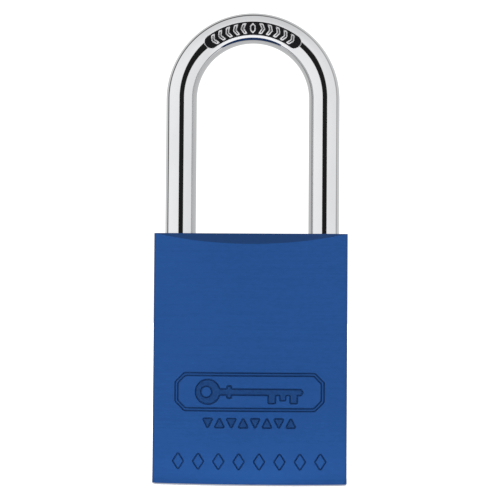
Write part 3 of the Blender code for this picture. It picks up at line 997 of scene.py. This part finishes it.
def stretched_noise(tree, scale, stretch, detail):
    """Noise in the object's own space, stretched by unequal scales along X, Y and Z."""
    place = add(tree, "ShaderNodeTexCoord")
    mapping = add(tree, "ShaderNodeMapping")
    mapping.inputs["Scale"].default_value = stretch
    noise = add(tree, "ShaderNodeTexNoise")
    noise.inputs["Scale"].default_value = scale
    noise.inputs["Detail"].default_value = detail
    noise.inputs["Roughness"].default_value = NOISE_ROUGHNESS
    tree.links.new(place.outputs["Object"], mapping.inputs["Vector"])
    tree.links.new(mapping.outputs["Vector"], noise.inputs["Vector"])
    return noise.outputs["Fac"]


def remap(tree, value, low, high):
    """Stretch a noise value between two others."""
    node = add(tree, "ShaderNodeMapRange")
    node.inputs["From Min"].default_value, node.inputs["From Max"].default_value = NOISE_RANGE
    node.inputs["To Min"].default_value = low
    node.inputs["To Max"].default_value = high
    tree.links.new(value, node.inputs["Value"])
    return node.outputs["Result"]


def blend_colors(tree, factor, first, second):
    """Mix two colours by a value."""
    mix = add(tree, "ShaderNodeMix", data_type="RGBA")
    mix.inputs["A"].default_value = (*first, 1.0)
    mix.inputs["B"].default_value = (*second, 1.0)
    tree.links.new(factor, mix.inputs["Factor"])
    return mix.outputs["Result"]


def add_bump(tree, shader, height, distance, strength):
    """Bump from a height value, in metres."""
    bump = add(tree, "ShaderNodeBump")
    bump.inputs["Distance"].default_value = distance
    bump.inputs["Strength"].default_value = strength
    tree.links.new(height, bump.inputs["Height"])
    tree.links.new(bump.outputs["Normal"], shader.inputs["Normal"])


def anodised_blue(name, first, second, roughness, stretch):
    """Satin blue anodising over the metal's grain, which runs along the least stretched axis."""
    material, tree, shader = new_material(name, first, ANODISED_METALLIC, roughness)
    shader.inputs["Specular IOR Level"].default_value = ANODISED_SPECULAR
    grain = stretched_noise(tree, 900.0, stretch, 3.0)
    streaks = stretched_noise(tree, 160.0, stretch, 2.0)
    least, most = SCRATCH_STRETCH_LIMITS
    scratch_stretch = tuple(min(max(share, least), most) for share in stretch)
    scratches = stretched_noise(tree, 900.0, scratch_stretch, 2.0)
    cloud = stretched_noise(tree, 60.0, EVEN, 3.0)
    broad = math_node(tree, "ADD", remap(tree, cloud, 0.0, 0.3), remap(tree, streaks, 0.0, 0.1))
    tone = math_node(tree, "ADD", broad, remap(tree, scratches, 0.0, 0.6))
    tree.links.new(blend_colors(tree, tone, first, second), shader.inputs["Base Color"])
    sheen = remap(tree, grain, roughness - 0.05, roughness + 0.05)
    tree.links.new(sheen, shader.inputs["Roughness"])
    add_bump(tree, shader, grain, 0.004 * MM, 0.6)
    return material


def chrome():
    """Bright chrome plate with a breath of polishing haze."""
    material, tree, shader = new_material("bright_chrome", (0.64, 0.645, 0.655), 1.0, 0.05)
    haze = stretched_noise(tree, 260.0, (1.0, 1.0, 0.3), 4.0)
    tree.links.new(remap(tree, haze, 0.035, 0.075), shader.inputs["Roughness"])
    tone = remap(tree, haze, 0.0, 1.0)
    color = blend_colors(tree, tone, (0.625, 0.63, 0.642), (0.655, 0.66, 0.668))
    tree.links.new(color, shader.inputs["Base Color"])
    return material


def inlay_black():
    """Etched black field with a fine matt grain."""
    material, tree, shader = new_material("etched_black", (0.004, 0.004, 0.005), 0.0, 0.45)
    shader.inputs["Specular IOR Level"].default_value = 0.08
    grain = stretched_noise(tree, 5000.0, EVEN, 3.0)
    tree.links.new(remap(tree, grain, 0.35, 0.6), shader.inputs["Roughness"])
    tone = remap(tree, grain, 0.0, 1.0)
    color = blend_colors(tree, tone, (0.002, 0.002, 0.003), (0.007, 0.007, 0.008))
    tree.links.new(color, shader.inputs["Base Color"])
    add_bump(tree, shader, grain, 0.01 * MM, 0.5)
    return material


def machined(name, dark, light, roughness):
    """Bare machined metal: fine tool lines with a little colour variation."""
    material, tree, shader = new_material(name, light, 1.0, roughness)
    lines = stretched_noise(tree, 1800.0, TOOL_LINES, 3.0)
    cloud = stretched_noise(tree, 120.0, EVEN, 4.0)
    color = blend_colors(tree, remap(tree, cloud, 0.0, 1.0), dark, light)
    tree.links.new(color, shader.inputs["Base Color"])
    sheen = remap(tree, lines, roughness * 0.8, roughness * 1.25)
    tree.links.new(sheen, shader.inputs["Roughness"])
    add_bump(tree, shader, lines, 0.003 * MM, 0.5)
    return material


def paint(obj, *materials):
    """Give a piece its materials; each face keeps its finish number."""
    numbers = [face.material_index for face in obj.data.polygons]
    obj.data.materials.clear()
    for material in materials:
        obj.data.materials.append(material)
    obj.data.polygons.foreach_set("material_index", numbers)


def paint_cad_nodes(looks):
    """Every carried-over node takes the finish of its slot."""
    for entry in frame["record"]["subparts"]:
        material = looks.get(entry["material_slot"])
        node = frame["nodes"][entry["node"]]
        if material:
            paint(node, material)


# ---------------------------------------------------------------- studio

def make_camera():
    """The camera, a little to the right and tilted up."""
    forward = Vector(
        (
            -math.sin(CAMERA_AZIMUTH) * math.cos(CAMERA_TILT),
            math.cos(CAMERA_AZIMUTH) * math.cos(CAMERA_TILT),
            math.sin(CAMERA_TILT),
        )
    )
    level = Vector((math.cos(CAMERA_AZIMUTH), math.sin(CAMERA_AZIMUTH), 0.0))
    above = level.cross(forward)
    right = level * math.cos(CAMERA_ROLL) + above * math.sin(CAMERA_ROLL)
    up = above * math.cos(CAMERA_ROLL) - level * math.sin(CAMERA_ROLL)
    data = bpy.data.cameras.new("camera")
    data.sensor_width = SENSOR
    data.lens = FOCAL_WIDTHS * SENSOR
    data.clip_start = 0.01
    camera = bpy.data.objects.new("camera", data)
    bpy.context.scene.collection.objects.link(camera)
    turn = Matrix((right, up, -forward)).transposed().to_4x4()
    camera.matrix_world = Matrix.Translation(CAMERA_AIM - forward * CAMERA_DISTANCE) @ turn
    bpy.context.scene.camera = camera


def make_floor():
    """A pale floor that runs far back."""
    bm = bmesh.new()
    bmesh.ops.create_grid(bm, x_segments=1, y_segments=1, size=FLOOR_HALF)
    floor = finish_mesh("floor", bm)
    material, tree, shader = new_material("pale_floor", (0.93, 0.93, 0.93), 0.0, 0.9)
    shader.inputs["Specular IOR Level"].default_value = 0.1
    tone = remap(tree, stretched_noise(tree, 40.0, EVEN, 2.0), 0.0, 1.0)
    color = blend_colors(tree, tone, (0.92, 0.92, 0.92), (0.94, 0.94, 0.94))
    tree.links.new(color, shader.inputs["Base Color"])
    shader.inputs["Emission Color"].default_value = WHITE
    shader.inputs["Emission Strength"].default_value = FLOOR_GLOW
    paint(floor, material)
    floor.visible_glossy = False


def make_card():
    """A grey card behind the loop, seen only in reflections, that fades out towards its edges."""
    half_width, low, high, depth = CARD
    bm = bmesh.new()
    corners = [(-half_width, low), (half_width, low), (half_width, high), (-half_width, high)]
    bm.faces.new([bm.verts.new((x, depth, z)) for x, z in corners])
    card = finish_mesh("grey_card", bm)
    material = bpy.data.materials.new("grey_card")
    material.use_nodes = True
    tree = material.node_tree
    glow = add(tree, "ShaderNodeEmission")
    speck = stretched_noise(tree, 40.0, EVEN, 2.0)
    strength = remap(tree, speck, CARD_GLOW * 0.98, CARD_GLOW * 1.02)
    tree.links.new(strength, glow.inputs["Strength"])
    place = add(tree, "ShaderNodeTexCoord")
    axes = add(tree, "ShaderNodeSeparateXYZ")
    tree.links.new(place.outputs["Object"], axes.inputs[0])
    fades = []
    for axis, middle, half in (("X", 0.0, half_width), ("Z", (low + high) / 2, (high - low) / 2)):
        away = math_node(tree, "SUBTRACT", axes.outputs[axis], middle)
        share = math_node(tree, "DIVIDE", math_node(tree, "ABSOLUTE", away), half)
        fades.append(edge_step(tree, share, CARD_SOLID, 1.0))
    clear = add(tree, "ShaderNodeBsdfTransparent")
    mix = add(tree, "ShaderNodeMixShader")
    tree.links.new(math_node(tree, "MAXIMUM", *fades), mix.inputs[0])
    tree.links.new(glow.outputs["Emission"], mix.inputs[1])
    tree.links.new(clear.outputs["BSDF"], mix.inputs[2])
    tree.links.new(mix.outputs[0], tree.nodes["Material Output"].inputs["Surface"])
    paint(card, material)
    card.visible_camera = False
    card.visible_diffuse = False
    card.visible_shadow = False


def between(tree, value, rise_from, rise_to, fall_from, fall_to):
    """1 in a band of angles given in degrees, with smooth edges."""
    rise = edge_step(tree, value, math.radians(rise_from), math.radians(rise_to))
    fall = edge_step(tree, value, math.radians(fall_to), math.radians(fall_from))
    return math_node(tree, "MULTIPLY", rise, fall)


def beyond(tree, value, start, end):
    """0 to 1 between two angles given in degrees."""
    return edge_step(tree, value, math.radians(start), math.radians(end))


def dimmed(tree, mask, depth):
    """1 outside a mask, and 1 less depth inside it."""
    return math_node(tree, "SUBTRACT", 1.0, math_node(tree, "MULTIPLY", mask, depth))


def make_world():
    """A white light tent: a dark opening at the front, dark flags at the back sides."""
    world = bpy.data.worlds.new("light_tent")
    bpy.context.scene.world = world
    world.use_nodes = True
    tree = world.node_tree
    background = tree.nodes["Background"]
    place = add(tree, "ShaderNodeTexCoord")
    split = add(tree, "ShaderNodeSeparateXYZ")
    tree.links.new(place.outputs["Generated"], split.inputs["Vector"])
    x, y, z = split.outputs
    azimuth = math_node(tree, "ARCTAN2", x, math_node(tree, "MULTIPLY", y, -1.0))
    from_middle = math_node(tree, "SUBTRACT", azimuth, OPENING_AZIMUTH)
    height = math_node(tree, "ARCSINE", z)
    from_back = math_node(tree, "ARCCOSINE", y)

    open_wide = beyond(tree, math_node(tree, "ABSOLUTE", from_middle), *OPENING_WIDE)
    open_tall = beyond(tree, math_node(tree, "ABSOLUTE", height), *OPENING_TALL)
    opening = math_node(tree, "MULTIPLY", open_wide, open_tall)
    open_dim = dimmed(tree, opening, OPENING_DEPTH)

    left = edge_step(tree, x, 0.6, -0.2)
    flag_depth = math_node(tree, "MULTIPLY_ADD", left, FLAG_DEPTH_LEFT, FLAG_DEPTH)
    flag_dim = dimmed(tree, between(tree, from_back, *FLAG_BAND), flag_depth)
    shade_dim = dimmed(tree, between(tree, from_back, *SHADE_BAND), SHADE_DEPTH)
    back_dim = math_node(tree, "MULTIPLY", flag_dim, shade_dim)

    overhead = beyond(tree, height, *OVERHEAD)
    tent = math_node(tree, "SUBTRACT", TENT, math_node(tree, "MULTIPLY", overhead, TENT_CHANGE))
    underneath = beyond(tree, height, *UNDERNEATH)
    tent = math_node(tree, "MULTIPLY_ADD", underneath, TENT_CHANGE, tent)
    sides = math_node(tree, "MULTIPLY_ADD", x, TENT_LEAN, 1.0)
    tent = math_node(tree, "MULTIPLY", tent, sides)
    light = math_node(tree, "MULTIPLY", math_node(tree, "MULTIPLY", tent, back_dim), open_dim)
    tree.links.new(light, background.inputs["Color"])
    background.inputs["Strength"].default_value = 1.0


def make_lights():
    """A wide soft light from above that only matt surfaces feel, and a low glow on the floor."""
    data = bpy.data.lights.new("top_light", "SUN")
    data.angle = SUN_SPREAD
    data.energy = SUN_POWER
    lamp = bpy.data.objects.new("top_light", data)
    bpy.context.scene.collection.objects.link(lamp)
    lamp.visible_glossy = False
    low = bpy.data.lights.new("low_light", "AREA")
    low.shape = "RECTANGLE"
    low.size, low.size_y, reach, low.energy = LOW_LIGHT
    panel = bpy.data.objects.new("low_light", low)
    bpy.context.scene.collection.objects.link(panel)
    panel.location = (0, -HALF_DEPTH - reach, LOW_LIGHT_Z)
    panel.rotation_euler.x = math.pi
    panel.visible_camera = False
    panel.visible_glossy = False


# ---------------------------------------------------------------- all of it

make_camera()
make_floor()
make_card()
make_world()
make_lights()

chrome_look = chrome()
silver_look = machined("satin_silver", (0.68, 0.68, 0.7), (0.82, 0.82, 0.84), 0.45)
blue_looks = [
    anodised_blue(*look)
    for look in (
        ("anodised_blue", (0.0127, 0.066, 0.228), (0.0166, 0.0761, 0.259), 0.68, (0.05, 0.05, 3.0)),
        # Milled faces: a darker copy of the blue, painted shade, with their own cross grain and
        # lower roughness.
        ("blue_milled_painted_shade", (0.0074, 0.0368, 0.125), (0.0086, 0.0398, 0.136), 0.4, (0.05, 3.0, 3.0)),
        # Grooves: a darker copy of the blue, painted shade.
        ("blue_groove_painted_shade", (0.012, 0.05, 0.17), (0.013, 0.055, 0.19), 0.5, EVEN),
        # Insides of the filled marks: a darker copy of the blue, painted shade.
        ("blue_marks_painted_shade", (0.0075, 0.037, 0.128), (0.0137, 0.0655, 0.2235), 0.68, (8.0, 8.0, 8.0)),
    )
]
looks = {
    "anodised_blue": blue_looks[0],
    "shackle_chrome": chrome_look,
    "housing_brass": machined("turned_brass", (0.62, 0.42, 0.15), (0.74, 0.54, 0.24), 0.3),
    "plug_brass": machined("faced_brass", (0.66, 0.46, 0.18), (0.78, 0.58, 0.28), 0.25),
    "pin_brass": machined("pin_brass", (0.66, 0.46, 0.18), (0.78, 0.58, 0.28), 0.22),
    "pin_steel": machined("ground_steel", (0.5, 0.5, 0.52), (0.64, 0.64, 0.66), 0.28),
    "ball_steel": machined("bearing_steel", (0.72, 0.72, 0.74), (0.78, 0.78, 0.8), 0.08),
    "spring_steel": machined("spring_steel", (0.4, 0.4, 0.42), (0.55, 0.55, 0.57), 0.32),
    "rotor_steel": machined("zinc_plate", (0.5, 0.51, 0.54), (0.62, 0.62, 0.64), 0.38),
    "screw_black": machined("black_oxide", (0.03, 0.03, 0.035), (0.06, 0.06, 0.065), 0.4),
}
paint_cad_nodes(looks)

paint(make_body(), *blue_looks)
paint(make_shackle(), chrome_look)
paint(make_inlay(), inlay_black())
for mark in make_inlay_marks():
    paint(mark, silver_look)
for ball in make_balls():
    paint(ball, looks["ball_steel"])
for pin in make_pins("key_pin", "Y", KEY_PIN_TIP):
    paint(pin, looks["pin_brass"])
for pin in make_pins("driver_pin", "X", DRIVER_PIN_TIP):
    paint(pin, looks["pin_steel"])
for spring in make_pin_springs():
    paint(spring, looks["spring_steel"])
paint(make_shackle_spring(), looks["spring_steel"])

bpy.context.scene.view_settings.view_transform = "Standard"
